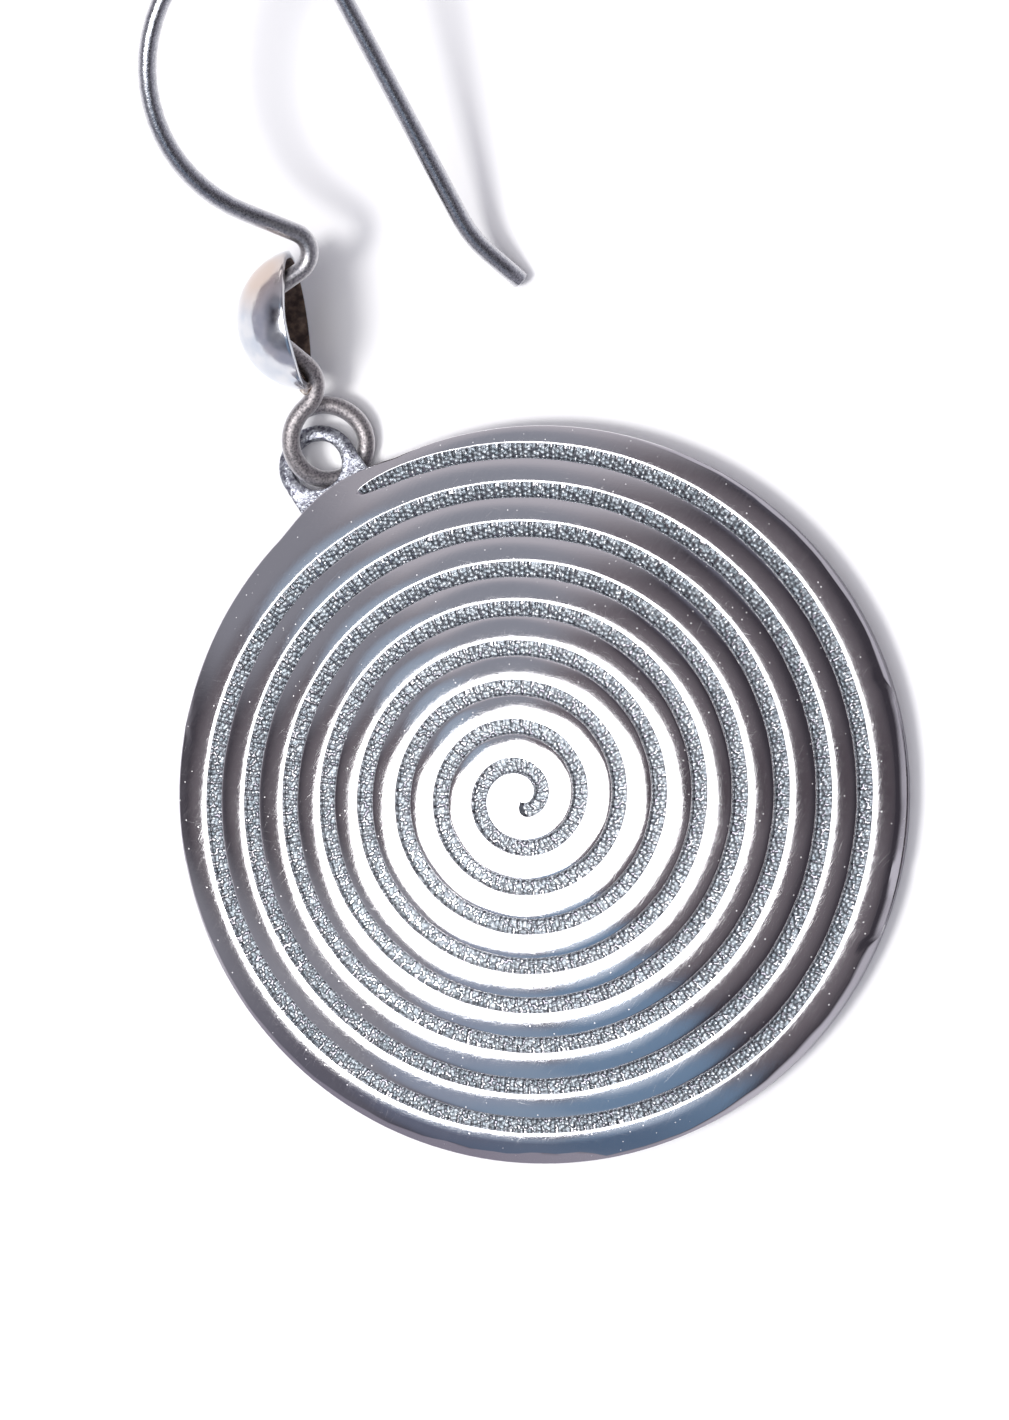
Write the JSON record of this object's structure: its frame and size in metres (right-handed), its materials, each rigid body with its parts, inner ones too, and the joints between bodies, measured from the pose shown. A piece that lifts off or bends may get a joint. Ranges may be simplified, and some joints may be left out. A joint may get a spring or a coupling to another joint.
{
  "type": "drop earring",
  "caption": "Silver drop earring lying flat: a domed disc with a sunk spiral hangs by its cast bail from a bent ear wire with a soldered half-ball cup.",
  "frame": {"origin": "centre of the flat land round the disc's back, on the surface that the earring lies on", "axes": "+Z out of the disc's decorated face, +Y from the disc's centre through its bail towards the ear wire"},
  "size_m": [0.032, 0.0533, 0.0106],
  "materials": {
    "cast_silver": "polished raised band, dark oxidised and stippled groove",
    "silver_wire": "polished wire, cup dark inside"
  },
  "bodies": {
    "root": {"spiral_disc": "cast_silver", "ear_hook": "silver_wire"}
  },
  "joints": []
}
